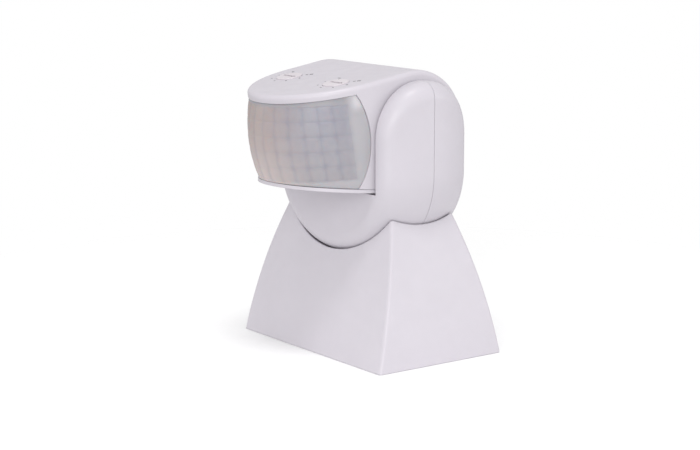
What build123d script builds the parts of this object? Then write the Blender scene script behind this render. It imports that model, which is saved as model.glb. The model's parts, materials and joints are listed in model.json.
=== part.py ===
"""Wall or table mounted motion sensor: a flared base, a swivelling yoke and a tilting sensor head.

Millimetres, +Z up, the lens faces -Y.  The origin is the centre of the base's flat mounting face.
The yoke turns about the vertical axis of the base, and the head tilts between the yoke's cheeks.
"""
import os
from math import acos, asin, atan2, cos, degrees, hypot, radians, sin, sqrt

from build123d import *

# ---------------------------------------------------------------- driving dimensions: base
BASE_LENGTH = 84.0  # along X at the mounting face
BASE_DEPTH = 53.8  # along Y at the mounting face
TOWER_TOP = 50.4  # height of the four corner tips
TOP_LENGTH = 60.6
TOP_DEPTH = 26.7
END_BOW = 2.45  # outward bow of the two short sides
FACE_BOW = 0.55  # outward bow of the two long sides
TOWER_CORNER = 1.3  # rounding of the four upright corners
COVER_WALL = 2.0

# ---------------------------------------------------------------- driving dimensions: yoke
YOKE_RADIUS = 36.5
YOKE_EQUATOR = 64.9  # height where the round bottom becomes a cylinder
YOKE_BOTTOM_DROP = 32.1  # the bottom is half an ellipsoid of this depth
YOKE_HALF_DEPTH = 18.8
YOKE_EDGE = 6.0  # rounding of the edges around the flat front and back
YOKE_WALL = 2.0
DISH_GAP = 0.35
DISH_EDGE = 0.4
TILT_Y = 0.2  # the tilt axis, which is also the yoke's parting plane
TILT_Z = 80.0
CHEEK_SPRING = 77.5  # the round top of each cheek starts at this height
CHEEK_RISE = 19.5  # and rises this far
CHEEK_FACE = 27.7  # inner face of each cheek from the centre plane
CHEEK_EDGE = 0.5  # rounding of each cheek's inner edge
PARTING_GAP = 0.12

# ---------------------------------------------------------------- driving dimensions: head
HEAD_SLOPE = 9.7  # the flat top leans this many degrees towards the lens
HEAD_HALF_WIDTH = 27.2
DRUM_RADIUS = 20.3  # round back of the head, centred on the tilt axis
HEAD_WALL = 1.8
HEAD_EDGE = 1.6  # rounding of the outer edges
TOP_THICKNESS = 2.8
TOP_REACH = 44.5  # front of the top lip from the tilt axis
TOP_STRAIGHT = 14.6  # the sides run straight this far forward
SILL_REACH = 46.0  # front of the lower lip from the tilt axis
SILL_STRAIGHT = TOP_STRAIGHT
SILL_SIDE_DROP = 19.0  # lower lip below the tilt axis at SILL_STRAIGHT
SILL_FRONT_DROP = 11.4  # and at its front
SILL_THICKNESS = 1.2
KEEL_REACH = 10.0  # the lower lip's plate runs back to here, then turns up to the drum
LENS_WALL = 0.9
LENS_BULGE = 2.5
LIP_INSET = 0.3  # the lens stands back from both lips by this much
FIT = 0.1  # gap between two fixed mouldings
RUN = 0.06  # radial gap of a running fit

LENS_HALF_WIDTH = HEAD_HALF_WIDTH - 0.4
LENS_TOP = DRUM_RADIUS - TOP_THICKNESS
LENS_SIDE_TOP = -22.8  # side edge of the lens: three points of one arc, measured back from the axis
LENS_SIDE_MIDDLE = -19.7
LENS_SIDE_BOTTOM = -26.4

# ---------------------------------------------------------------- driving dimensions: small parts
DIAL_X = 14.1
DIAL_REACH = 22.1
DIAL_RADIUS = 4.6
DIAL_PROUD = 0.35
DIAL_RECESS = 1.3
DIAL_STEM = 1.95
DIAL_TIP = 1.5
TRUNNION_RADIUS = 5.0
TRUNNION_BORE = 3.4
TRUNNION_END = 30.0
WASHER_THICKNESS = 0.4
SLOT_WALL = 1.5
HEAD_CLEARANCE = 0.6
NECK_RADIUS = 7.0
NECK_BORE = 4.8
NECK_BOTTOM = 21.5
NECK_SEAT = 36.5
NECK_FLANGE = 10.5
NECK_PAD = 28.8  # underside of the flat pad below the dish
NECK_PAD_RADIUS = 15.5
NUT_BOTTOM = 23.0
NUT_TOP = 27.9
STOP_RADIUS = 14.6
YOKE_SCREW_X = 12.0
YOKE_SCREW_Z = 47.0
WIRE_RADIUS = 0.65
WIRE_PITCH = 2.1
BOARD_TOP = LENS_TOP - 5.0  # upper face of the main board above the tilt axis
BOARD_THICKNESS = 1.6
BOARD_HALF_WIDTH = 18.5
BOARD_REACH = 33.0
BOARD_BACK = 8.0
SENSOR_REACH = 23.2  # front face of the upright sensor board
SENSOR_HEIGHT = 3.5
TRAY_SPLIT = -8.0  # height of the joint line on the back of the head
POST_X = 21.8  # posts that hold the head's tray, in front of and behind the tilt axis
POST_REACH = 17.0
POST_BACK = 9.0
POST_END = 12.2  # lower end of the front posts, below the tilt axis
REAR_POST_END = 7.0
POST_RADIUS = 1.9
POST_SLEEVE = 2.6
SCREW_DEPTH = 8.0
SCREW_SEAT = 1.6
TRAY_PILOT = 0.85
TRAY_SHANK_HOLE = 0.95
TRAY_HEAD_HOLE = 1.85
BOARD_PILOT = 0.95
BOARD_POST = 2.1

# Cross-recessed screws: head radius, head height, shank radius, length.
COVER_SCREW = (3.0, 2.0, 1.4, 9.0)
TERMINAL_SCREW = (1.9, 2.2, 1.25, 4.0)
YOKE_SCREW = (2.3, 1.6, 1.1, 24.0)
TRAY_SCREW = (1.7, 1.1, 0.8, SCREW_DEPTH)
BOARD_SCREW = (1.9, 1.2, 0.9, 5.0)

ROOT = 0.5  # how far a post runs into the wall it stands on
SEAL_RADIUS = 3.1
SEAL_DEPTH = 0.7
PLATE_THICKNESS = 2.5
PLATE_HALF_LENGTH = 39.6
PLATE_HALF_DEPTH = 24.0
COVER_SCREW_X = 22.0
COVER_SCREW_Z = 8.0
COVER_SCREW_SEAT = 20.5  # depth of the screw pocket in the back face, as a Y place
COVER_BOSS_END = 17.5
TERMINAL_X = -16.0
TERMINAL_Y = -3.0
TERMINAL_PITCH = 8.5
TERMINAL_WIDTH = 13.0
TERMINAL_HEIGHT = 13.0
TERMINAL_POLES = (-TERMINAL_PITCH, 0.0, TERMINAL_PITCH)
WALL_SLOT_SPACING = 64.0
WALL_SLOT_WIDTH = 4.5
WALL_SLOT_LENGTH = 9.0
GROMMET_X = 17.0
GROMMET_BORE = 4.5

BIG = 120.0  # longer than any part of the sensor
TOLERANCE = 0.01

# Planes of the head.  TOP_PLANE has X across and Y towards the back, parallel to the flat top.
# SIDE_PLANE has X towards the back and Y up, and its normal is the tilt axis.
tilt_point = Vector(0, TILT_Y, TILT_Z)
backward = Vector(0, cos(radians(HEAD_SLOPE)), sin(radians(HEAD_SLOPE)))
upward = Vector(0, -sin(radians(HEAD_SLOPE)), cos(radians(HEAD_SLOPE)))
TOP_PLANE = Plane(origin=tilt_point, x_dir=(1, 0, 0), z_dir=upward)
SIDE_PLANE = Plane(origin=tilt_point, x_dir=backward, z_dir=(1, 0, 0))

# The lower lip is a plate on a plane that rises towards the front.
SILL_RISE = degrees(atan2(SILL_SIDE_DROP - SILL_FRONT_DROP, SILL_REACH - SILL_STRAIGHT))
sill_side_point = tilt_point - backward * SILL_STRAIGHT - upward * SILL_SIDE_DROP
sill_upward = upward * cos(radians(SILL_RISE)) + backward * sin(radians(SILL_RISE))
SILL_PLANE = Plane(origin=sill_side_point, x_dir=(1, 0, 0), z_dir=sill_upward)
SILL_SLANT = cos(radians(SILL_RISE))


def head_place(x, reach, height):
    """Point of the head: across, forward of the tilt axis, above the tilt axis."""
    return tilt_point + Vector(x, 0, 0) - backward * reach + upward * height


def sill_height(back):
    """Height of the lower lip's underside in the side plane, at a distance back from the axis."""
    slope = (SILL_SIDE_DROP - SILL_FRONT_DROP) / (SILL_REACH - SILL_STRAIGHT)
    return -SILL_SIDE_DROP - slope * (back + SILL_STRAIGHT)


# The keel is the lowest corner of the head.  Behind it the bottom runs straight up to the drum.
KEEL = (-KEEL_REACH, sill_height(-KEEL_REACH))
KEEL_RADIUS = hypot(*KEEL)
keel_angle = degrees(atan2(KEEL[1], KEEL[0]))
TOUCH_ANGLE = keel_angle + degrees(acos(DRUM_RADIUS / KEEL_RADIUS))


def drum_point(radius, angle):
    """Point of the side plane at a radius from the tilt axis, in degrees up from the back."""
    return (radius * cos(radians(angle)), radius * sin(radians(angle)))


# ================================================================ shared forms
def tower(inset):
    """The flared tower as a solid, its four sides moved inward by inset."""
    half_length = BASE_LENGTH / 2 - inset
    half_top_length = TOP_LENGTH / 2 - inset
    half_depth = BASE_DEPTH / 2 - inset
    half_top_depth = TOP_DEPTH / 2 - inset
    with BuildPart() as body:
        with BuildSketch(Plane.XZ):
            with BuildLine():
                Line((-half_length, 0), (half_length, 0))
                middle = (half_length + half_top_length) / 2 + END_BOW
                ThreePointArc((half_length, 0), (middle, TOWER_TOP / 2), (half_top_length, TOWER_TOP))
                Line((half_top_length, TOWER_TOP), (-half_top_length, TOWER_TOP))
                ThreePointArc((-half_top_length, TOWER_TOP), (-middle, TOWER_TOP / 2), (-half_length, 0))
            make_face()
        extrude(amount=BIG / 2, both=True)
        with BuildSketch(Plane.YZ):
            with BuildLine():
                Line((-half_depth, 0), (half_depth, 0))
                middle = (half_depth + half_top_depth) / 2 + FACE_BOW
                ThreePointArc((half_depth, 0), (middle, TOWER_TOP / 2), (half_top_depth, TOWER_TOP))
                Line((half_top_depth, TOWER_TOP), (-half_top_depth, TOWER_TOP))
                ThreePointArc((-half_top_depth, TOWER_TOP), (-middle, TOWER_TOP / 2), (-half_depth, 0))
            make_face()
        extrude(amount=BIG / 2, both=True, mode=Mode.INTERSECT)
        upright = [e for e in body.edges() if e.bounding_box().size.Z > TOWER_TOP - 1]
        fillet(upright, TOWER_CORNER)
    return body


def yoke_round(offset):
    """The yoke's round form before its front and back are cut flat, grown by offset."""
    radius = YOKE_RADIUS + offset
    drop = YOKE_BOTTOM_DROP + offset
    with BuildPart() as body:
        with BuildSketch(Plane.YZ):
            with BuildLine():
                EllipticalCenterArc((0, YOKE_EQUATOR), radius, drop, start_angle=270, arc_size=90)
                Line((radius, YOKE_EQUATOR), (radius, BIG))
                Line((radius, BIG), (0, BIG))
                Line((0, BIG), (0, YOKE_EQUATOR - drop))
            make_face()
        revolve(axis=Axis.Z)
    return body


def yoke_form(offset, edge):
    """The whole yoke as a solid, with flat front and back and rounded edges, grown by offset."""
    depth = YOKE_HALF_DEPTH + offset
    rise = CHEEK_RISE + offset
    with BuildPart() as body:
        add(yoke_round(offset).part)
        with BuildSketch(Plane.YZ):
            with BuildLine():
                Line((TILT_Y - depth, 0), (TILT_Y + depth, 0))
                Line((TILT_Y + depth, 0), (TILT_Y + depth, CHEEK_SPRING))
                EllipticalCenterArc((TILT_Y, CHEEK_SPRING), depth, rise, start_angle=0, arc_size=180)
                Line((TILT_Y - depth, CHEEK_SPRING), (TILT_Y - depth, 0))
            make_face()
        extrude(amount=BIG / 2, both=True, mode=Mode.INTERSECT)
        sharp = [e for e in body.edges() if e.center().Z > 0 and not is_smooth(body, e)]
        fillet(sharp, edge)
    return body


def is_smooth(body, edge):
    """True when the edge is a seam, or joins two faces that run into each other smoothly."""
    faces = [f for f in body.faces() if any(edge.is_same(other) for other in f.edges())]
    if len(faces) < 2:
        return True
    point = edge.position_at(0.5)
    first = faces[0].normal_at(point)
    second = faces[1].normal_at(point)
    return first.get_angle(second) < 5


def head_slot(offset):
    """The room that the head turns in, between the cheeks, grown by offset."""
    clearance = HEAD_CLEARANCE + offset
    with BuildPart() as room:
        with BuildSketch(Plane.YZ):
            with Locations((TILT_Y, TILT_Z)):
                Circle(DRUM_RADIUS + clearance)
            with Locations((TILT_Y, TILT_Z + BIG / 2)):
                Rectangle(2 * (DRUM_RADIUS + clearance), BIG)
        extrude(amount=CHEEK_FACE + offset, both=True)
        # ahead of the drum the keel swings forward under the lower lip
        with BuildSketch(SIDE_PLANE):
            Circle(KEEL_RADIUS + clearance)
            with Locations((drum_point(DRUM_RADIUS, TOUCH_ANGLE)[0] + BIG / 2, 0)):
                Rectangle(BIG, BIG, mode=Mode.SUBTRACT)
            with BuildLine():
                Polyline(
                    (KEEL[0], KEEL[1] - clearance),
                    (-BIG, sill_height(-BIG) - clearance),
                    (-BIG, BIG),
                    (KEEL[0], BIG),
                    close=True,
                )
            make_face()
        extrude(amount=CHEEK_FACE + offset, both=True)
    return room


def plan_outline(plane, half_width, straight, reach, back):
    """The head's plan on a plane: straight sides and a half-elliptical front."""
    with BuildSketch(plane) as outline:
        with BuildLine():
            Line((half_width, back), (-half_width, back))
            Line((-half_width, back), (-half_width, -straight))
            EllipticalCenterArc(
                (0, -straight), half_width, reach - straight, start_angle=180, arc_size=180
            )
            Line((half_width, -straight), (half_width, back))
        make_face()
    return outline.sketch


def sill_plate():
    """The flat plate that ends in the lower lip."""
    back = (SILL_STRAIGHT - KEEL_REACH) / SILL_SLANT
    front = (SILL_REACH - SILL_STRAIGHT) / SILL_SLANT
    with BuildPart() as plate:
        extrude(plan_outline(SILL_PLANE, HEAD_HALF_WIDTH, 0, front, back), amount=SILL_THICKNESS)
    return plate.part


def pan_screw(plane, head_radius, head_height, shank_radius, length):
    """A cross-recessed screw: its head stands behind the plane and its shank ahead of it."""
    with BuildPart() as screw:
        with BuildSketch(plane):
            Circle(head_radius)
        extrude(amount=-head_height)
        fillet(screw.edges().sort_by(Axis(plane.origin, plane.z_dir))[0], head_height / 3)
        with BuildSketch(plane):
            Circle(shank_radius)
        extrude(amount=length)
        with BuildSketch(plane.offset(-head_height)):
            Rectangle(1.3 * head_radius, 0.3 * head_radius)
            Rectangle(0.3 * head_radius, 1.3 * head_radius)
        extrude(amount=head_height / 2, mode=Mode.SUBTRACT)
    return screw.part


def head_plane(x, reach, height):
    """Plane parallel to the flat top with its origin at a point of the head."""
    return Plane(origin=head_place(x, reach, height), x_dir=(1, 0, 0), z_dir=upward)


def front_plane(x, reach, height):
    """Plane facing forward, square to the flat top, with its origin at a point of the head."""
    return Plane(origin=head_place(x, reach, height), x_dir=(-1, 0, 0), z_dir=backward * -1)


def save(part, label):
    """Name a finished piece and write it."""
    part.label = label
    export_step(part, f"parts/{label}.step")


os.makedirs("parts", exist_ok=True)

# ================================================================ base cover
cover_screw_places = [(-COVER_SCREW_X, COVER_SCREW_Z), (COVER_SCREW_X, COVER_SCREW_Z)]

with BuildPart() as cover_cavity:
    add(tower(COVER_WALL).part)
    add(yoke_round(DISH_GAP + COVER_WALL).part, mode=Mode.SUBTRACT)
    with BuildSketch(Plane.XY.offset(NECK_PAD)):
        Circle(NECK_PAD_RADIUS)
    extrude(amount=BIG, mode=Mode.SUBTRACT)
    # the stop for the swivel covers the rear arc below the pad
    with BuildSketch(Plane.XY.offset(NUT_BOTTOM + 1)):
        Circle(NECK_PAD_RADIUS)
        Circle(NECK_PAD_RADIUS - 3, mode=Mode.SUBTRACT)
        with Locations((0, 5 - BIG / 2)):
            Rectangle(BIG, BIG, mode=Mode.SUBTRACT)
    extrude(amount=BIG, mode=Mode.SUBTRACT)
    with BuildSketch(Plane.XZ.offset(-COVER_BOSS_END)):
        with Locations(*cover_screw_places):
            Circle(4.6)
    extrude(amount=-BIG, mode=Mode.SUBTRACT)

with BuildPart() as base_cover:
    add(tower(0).part)
    add(yoke_round(DISH_GAP).part, mode=Mode.SUBTRACT)
    dish = base_cover.faces().filter_by(GeomType.REVOLUTION)
    fillet([e for e in dish.edges() if not is_smooth(base_cover, e)], DISH_EDGE)
    add(cover_cavity.part, mode=Mode.SUBTRACT)
    with BuildSketch(Plane.XY.offset(NECK_PAD)):
        Circle(NECK_RADIUS)
    extrude(amount=BIG, both=True, mode=Mode.SUBTRACT)
    with BuildSketch(Plane.XZ.offset(-COVER_SCREW_SEAT)):
        with Locations(*cover_screw_places):
            Circle(3.4)
    extrude(amount=-BIG, mode=Mode.SUBTRACT)
    with BuildSketch(Plane.XZ):
        with Locations(*cover_screw_places):
            Circle(1.7)
    extrude(amount=-BIG, mode=Mode.SUBTRACT)
    # pockets inside the front wall for the wall plate's two hooks
    with BuildSketch(Plane.XY.offset(-1)):
        with Locations((-COVER_SCREW_X, -PLATE_HALF_DEPTH), (COVER_SCREW_X, -PLATE_HALF_DEPTH)):
            Rectangle(9, 3)
    extrude(amount=PLATE_THICKNESS + 1.2, mode=Mode.SUBTRACT)
save(base_cover.part, "base_cover")

# ================================================================ wall plate
plate_top = Plane.XY.offset(PLATE_THICKNESS)
with BuildPart() as wall_plate:
    with BuildSketch():
        RectangleRounded(2 * PLATE_HALF_LENGTH, 2 * PLATE_HALF_DEPTH, 2)
        # hooks that reach into the cover's pockets
        with Locations((0, -PLATE_HALF_DEPTH - 0.5)):
            with GridLocations(2 * COVER_SCREW_X, 0, 2, 1):
                Rectangle(8, 1.6)
    extrude(amount=PLATE_THICKNESS)
    # posts that take the cover screws
    with BuildSketch(plate_top):
        with Locations((-COVER_SCREW_X, 14), (COVER_SCREW_X, 14)):
            RectangleRounded(8, 6.6, 1)
    extrude(amount=10)
    with BuildSketch(Plane.XZ.offset(-COVER_BOSS_END)):
        with Locations(*cover_screw_places):
            Circle(1.45)
    extrude(amount=BIG, mode=Mode.SUBTRACT)
    # ribs under the terminal block and pegs that locate it
    with BuildSketch(plate_top):
        with GridLocations(0, TERMINAL_PITCH, 1, 2):
            with Locations((TERMINAL_X, TERMINAL_Y)):
                Circle(1.2)
    extrude(amount=6)
    # stiffening rim
    with BuildSketch(plate_top):
        RectangleRounded(2 * PLATE_HALF_LENGTH - 3, 2 * PLATE_HALF_DEPTH - 4, 2)
        RectangleRounded(2 * PLATE_HALF_LENGTH - 6, 2 * PLATE_HALF_DEPTH - 7, 1, mode=Mode.SUBTRACT)
    extrude(amount=0.8)
    with BuildSketch():
        with GridLocations(WALL_SLOT_SPACING, 0, 2, 1):
            SlotOverall(WALL_SLOT_LENGTH, WALL_SLOT_WIDTH)
        with Locations((GROMMET_X, 0)):
            Circle(7)
    extrude(amount=BIG, mode=Mode.SUBTRACT)
save(wall_plate.part, "wall_plate")

with BuildPart() as cable_grommet:
    with BuildSketch(Plane(origin=(GROMMET_X, 0, 0), x_dir=(1, 0, 0), z_dir=(0, -1, 0))):
        with BuildLine():
            Polyline(
                (GROMMET_BORE, 0),
                (6.9, 0),
                (6.9, PLATE_THICKNESS),
                (9, PLATE_THICKNESS),
                (9, 3.6),
                (8.4, 4.2),
                (GROMMET_BORE, 4.2),
                close=True,
            )
        make_face()
    revolve(axis=Axis((GROMMET_X, 0, 0), (0, 0, 1)))
save(cable_grommet.part, "cable_grommet")

with BuildPart() as cover_screws:
    for x in (-COVER_SCREW_X, COVER_SCREW_X):
        seat = Plane(origin=(x, COVER_SCREW_SEAT, COVER_SCREW_Z), x_dir=(1, 0, 0), z_dir=(0, -1, 0))
        add(pan_screw(seat, *COVER_SCREW))
save(cover_screws.part, "cover_screws")

# ================================================================ mains terminals and base wiring
pole_places = [(TERMINAL_X, TERMINAL_Y + pole) for pole in TERMINAL_POLES]
clamp_z = PLATE_THICKNESS + 5.5
terminal_end = Plane(origin=(TERMINAL_X, TERMINAL_Y, clamp_z), x_dir=(0, 1, 0), z_dir=(1, 0, 0))

with BuildPart() as terminal_block:
    with BuildSketch(plate_top):
        with Locations((TERMINAL_X, TERMINAL_Y)):
            RectangleRounded(TERMINAL_WIDTH, 3 * TERMINAL_PITCH + 1, 0.8)
    extrude(amount=TERMINAL_HEIGHT)
    fillet(terminal_block.faces().sort_by(Axis.Z)[-1].edges(), 0.5)
    with BuildSketch(terminal_end):
        with GridLocations(TERMINAL_PITCH, 0, 3, 1):
            Rectangle(5.5, 5.5)
    extrude(amount=BIG, both=True, mode=Mode.SUBTRACT)
    with BuildSketch(Plane.XY.offset(clamp_z)):
        with Locations(*pole_places):
            Circle(2.1)
    extrude(amount=BIG, mode=Mode.SUBTRACT)
    # sockets for the wall plate's pegs, between the poles
    with BuildSketch(plate_top):
        with Locations((TERMINAL_X, TERMINAL_Y)):
            with GridLocations(0, TERMINAL_PITCH, 1, 2):
                Circle(1.25)
    extrude(amount=6.2, mode=Mode.SUBTRACT)
save(terminal_block.part, "terminal_block")

with BuildPart() as terminal_clamps:
    with BuildSketch(terminal_end):
        with GridLocations(TERMINAL_PITCH, 0, 3, 1):
            Rectangle(5.3, 5.3)
            Circle(1.6, mode=Mode.SUBTRACT)
    extrude(amount=TERMINAL_WIDTH / 2 - 1, both=True)
    with BuildSketch(Plane.XY.offset(clamp_z)):
        with Locations(*pole_places):
            Circle(1.3)
    extrude(amount=BIG, mode=Mode.SUBTRACT)
save(terminal_clamps.part, "terminal_clamps")

with BuildPart() as terminal_screws:
    for x, y in pole_places:
        seat = Plane(origin=(x, y, clamp_z + 3.2), x_dir=(1, 0, 0), z_dir=(0, 0, -1))
        add(pan_screw(seat, *TERMINAL_SCREW))
save(terminal_screws.part, "terminal_screws")


def wire(points, radius, bend):
    """A round wire along a bent path."""
    with BuildPart() as body:
        with BuildLine():
            path = FilletPolyline(*points, radius=bend)
        with BuildSketch(Plane(origin=path @ 0, z_dir=path % 0)):
            Circle(radius)
        sweep(path=path)
    return body.part


wire_rows = (-WIRE_PITCH, 0.0, WIRE_PITCH)
with BuildPart() as base_leads:
    for row, pole in zip(wire_rows, TERMINAL_POLES):
        pole_y = TERMINAL_Y + pole
        add(wire(
            [
                (TERMINAL_X + 4, pole_y, clamp_z),
                (-5 - abs(row), pole_y, clamp_z),
                (0, TILT_Y + row, clamp_z + 4),
                (0, TILT_Y + row, NECK_BOTTOM - 0.5),
            ],
            WIRE_RADIUS,
            1.5,
        ))
save(base_leads.part, "base_leads")

# ================================================================ yoke shells
yoke_screw_places = [(-YOKE_SCREW_X, YOKE_SCREW_Z), (YOKE_SCREW_X, YOKE_SCREW_Z)]
trunnion_end_plane = Plane(origin=tilt_point, x_dir=(0, 1, 0), z_dir=(1, 0, 0))

with BuildPart() as yoke_cavity:
    add(yoke_form(-YOKE_WALL, YOKE_EDGE - YOKE_WALL).part)
    add(head_slot(SLOT_WALL).part, mode=Mode.SUBTRACT)
    with BuildSketch():
        Circle(NECK_FLANGE + 2.5)
    extrude(amount=NECK_SEAT, mode=Mode.SUBTRACT)
    with BuildSketch(Plane.XZ):
        with Locations(*yoke_screw_places):
            Circle(3.2)
    extrude(amount=BIG, both=True, mode=Mode.SUBTRACT)


def is_cheek_rim(edge):
    """True for the edges where a cheek's inner face meets the yoke's outer surface."""
    middle = edge.position_at(0.5)
    across = abs(middle.Y - TILT_Y)
    if abs(abs(middle.X) - CHEEK_FACE) > TOLERANCE or middle.Z < CHEEK_SPRING - CHEEK_RISE:
        return False
    rise = max(middle.Z - CHEEK_SPRING, 0) / CHEEK_RISE
    return abs(hypot(across / YOKE_HALF_DEPTH, rise) - 1) < TOLERANCE


with BuildPart() as yoke_shell:
    add(yoke_form(0, YOKE_EDGE).part)
    add(head_slot(0).part, mode=Mode.SUBTRACT)
    fillet(yoke_shell.edges().filter_by(is_cheek_rim), CHEEK_EDGE)
    add(yoke_cavity.part, mode=Mode.SUBTRACT)
    with BuildSketch():
        Circle(NECK_RADIUS + FIT)
    extrude(amount=NECK_SEAT + 1, mode=Mode.SUBTRACT)
    with BuildSketch(trunnion_end_plane):
        Circle(TRUNNION_RADIUS + RUN)
    extrude(amount=TRUNNION_END + 0.5, both=True, mode=Mode.SUBTRACT)

rear_parting = Plane.XZ.offset(-TILT_Y - PARTING_GAP / 2)
front_parting = Plane.XZ.offset(-TILT_Y + PARTING_GAP / 2)
with BuildPart() as yoke_front_shell:
    add(yoke_shell.part)
    split(bisect_by=front_parting, keep=Keep.TOP)
    with BuildSketch(front_parting):
        with Locations(*yoke_screw_places):
            Circle(1.15)
    extrude(amount=12, mode=Mode.SUBTRACT)
save(yoke_front_shell.part, "yoke_front_shell")

with BuildPart() as yoke_rear_shell:
    add(yoke_shell.part)
    split(bisect_by=rear_parting, keep=Keep.BOTTOM)
    with BuildSketch(rear_parting):
        with Locations(*yoke_screw_places):
            Circle(1.3)
    extrude(amount=-BIG, mode=Mode.SUBTRACT)
    with BuildSketch(Plane.XZ.offset(-TILT_Y - 14)):
        with Locations(*yoke_screw_places):
            Circle(2.6)
    extrude(amount=-BIG, mode=Mode.SUBTRACT)
save(yoke_rear_shell.part, "yoke_rear_shell")

with BuildPart() as yoke_screws:
    for x, z in yoke_screw_places:
        seat = Plane(origin=(x, TILT_Y + 14, z), x_dir=(1, 0, 0), z_dir=(0, -1, 0))
        add(pan_screw(seat, *YOKE_SCREW))
save(yoke_screws.part, "yoke_screws")

# ================================================================ swivel neck
with BuildPart() as swivel_tube:
    with BuildSketch(Plane.XY.offset(NECK_BOTTOM)):
        Circle(NECK_RADIUS - RUN)
    extrude(amount=NECK_SEAT + 1.6 - NECK_BOTTOM)
    with BuildSketch(Plane.XY.offset(NECK_SEAT + 0.1)):
        Circle(NECK_FLANGE)
    extrude(amount=1.5)
    fillet(swivel_tube.edges().filter_by(GeomType.CIRCLE).sort_by(Axis.Z)[-1], 0.4)
    with BuildSketch(Plane.XY.offset(NECK_BOTTOM)):
        Circle(NECK_BORE)
    extrude(amount=BIG, mode=Mode.SUBTRACT)
save(swivel_tube.part, "swivel_tube")

with BuildPart() as neck_washer:
    with BuildSketch(Plane.XY.offset(NUT_TOP + 0.05)):
        Circle(12)
        Circle(NECK_RADIUS, mode=Mode.SUBTRACT)
    extrude(amount=NECK_PAD - NUT_TOP - 0.1)
save(neck_washer.part, "neck_washer")

with BuildPart() as neck_nut:
    with BuildSketch(Plane.XY.offset(NUT_BOTTOM)):
        RegularPolygon(11.5, 6)
    extrude(amount=NUT_TOP - NUT_BOTTOM)
    # the tab that meets the stop inside the cover
    with BuildSketch(Plane.XY.offset(NUT_BOTTOM + 1.2)):
        with Locations((0, -STOP_RADIUS / 2)):
            Rectangle(4, STOP_RADIUS)
    extrude(amount=NUT_TOP - NUT_BOTTOM - 1.4)
    with BuildSketch(Plane.XY.offset(NUT_BOTTOM)):
        Circle(NECK_RADIUS)
    extrude(amount=BIG, mode=Mode.SUBTRACT)
save(neck_nut.part, "neck_nut")

with BuildPart() as pivot_washers:
    for side in (-1, 1):
        middle = (HEAD_HALF_WIDTH + CHEEK_FACE) / 2
        with BuildSketch(trunnion_end_plane.offset(side * middle)):
            Circle(9)
            Circle(TRUNNION_RADIUS + RUN, mode=Mode.SUBTRACT)
        extrude(amount=WASHER_THICKNESS / 2, both=True)
save(pivot_washers.part, "pivot_washers")

cheek_x = -32.6
with BuildPart() as neck_leads:
    for row in wire_rows:
        y = TILT_Y + row
        add(wire(
            [
                (0, y, NECK_BOTTOM + 0.3),
                (0, y, 40.2),
                (-16, y, 42),
                (-24, y, 45.6),
                (-29.35, y, 51.8),
                (cheek_x, y, 60),
                (cheek_x, y, TILT_Z),
                (-TRUNNION_END - 0.2, y, TILT_Z),
            ],
            WIRE_RADIUS,
            2.0,
        ))
save(neck_leads.part, "neck_leads")

# ================================================================ head housing
post_places = [(-POST_X, POST_REACH), (POST_X, POST_REACH)]
rear_post_places = [(-POST_X, -POST_BACK), (POST_X, -POST_BACK)]
board_screw_places = [(-16, 12), (16, 12), (0, 30)]
dial_places = [(-DIAL_X, DIAL_REACH), (DIAL_X, DIAL_REACH)]
DIAL_SEAT = DRUM_RADIUS - DIAL_RECESS
SEAL_SEAT = DIAL_SEAT - SEAL_DEPTH
drum_middle = DRUM_RADIUS - HEAD_WALL / 2  # radius of the middle of the drum's wall
rear_post_root = sqrt(drum_middle**2 - (POST_BACK + POST_SLEEVE) ** 2)


def lens_window(plane, shift):
    """The area of the head's side that the lens fills: everything ahead of its curved side edge."""
    bottom_height = sill_height(LENS_SIDE_BOTTOM) + SILL_THICKNESS
    top = (LENS_SIDE_TOP + shift, LENS_TOP)
    middle = (LENS_SIDE_MIDDLE + shift, (LENS_TOP + bottom_height) / 2)
    bottom = (LENS_SIDE_BOTTOM + shift, bottom_height)
    with BuildSketch(plane) as window:
        with BuildLine():
            Polyline(bottom, (-BIG, bottom_height), (-BIG, LENS_TOP), top)
            ThreePointArc(top, middle, bottom)
        make_face()
    return window.sketch


def tail_height(back):
    """Height of the straight tail behind the lower lip's plate, in the side plane."""
    touch = drum_point(DRUM_RADIUS, TOUCH_ANGLE)
    return KEEL[1] + (touch[1] - KEEL[1]) * (back - KEEL[0]) / (touch[0] - KEEL[0])


def side_wall(side):
    """One side of the head: a disc behind, reaching forward to the side edge of the lens."""
    lift = (SILL_THICKNESS + FIT) / SILL_SLANT  # the wall stops just above the lower lip's plate
    step = FIT + SILL_THICKNESS * sin(radians(SILL_RISE)) - KEEL_REACH
    inner_half_width = HEAD_HALF_WIDTH - HEAD_WALL
    with BuildPart() as wall:
        with BuildSketch(SIDE_PLANE):
            Circle(DRUM_RADIUS)
            with BuildLine():
                Polyline(
                    (0, DRUM_RADIUS),
                    (LENS_SIDE_TOP, DRUM_RADIUS),
                    (LENS_SIDE_BOTTOM, sill_height(LENS_SIDE_BOTTOM) + lift),
                    (step, sill_height(step) + lift),
                    (step, tail_height(step)),
                    drum_point(DRUM_RADIUS, TOUCH_ANGLE),
                    (0, 0),
                    close=True,
                )
            make_face()
        extrude(amount=side * HEAD_HALF_WIDTH)
        outside = plan_outline(TOP_PLANE, HEAD_HALF_WIDTH, TOP_STRAIGHT, TOP_REACH, BIG)
        extrude(outside, amount=BIG, both=True, mode=Mode.INTERSECT)
        inside = plan_outline(TOP_PLANE, inner_half_width, TOP_STRAIGHT, TOP_REACH - HEAD_WALL, BIG)
        extrude(inside, amount=BIG, both=True, mode=Mode.SUBTRACT)
    return wall.part


def drum_shell(half_width):
    """The head's round back as a tube about the tilt axis."""
    with BuildPart() as shell:
        with BuildSketch(SIDE_PLANE):
            Circle(DRUM_RADIUS)
            Circle(DRUM_RADIUS - HEAD_WALL, mode=Mode.SUBTRACT)
        extrude(amount=half_width, both=True)
    return shell.part


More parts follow.
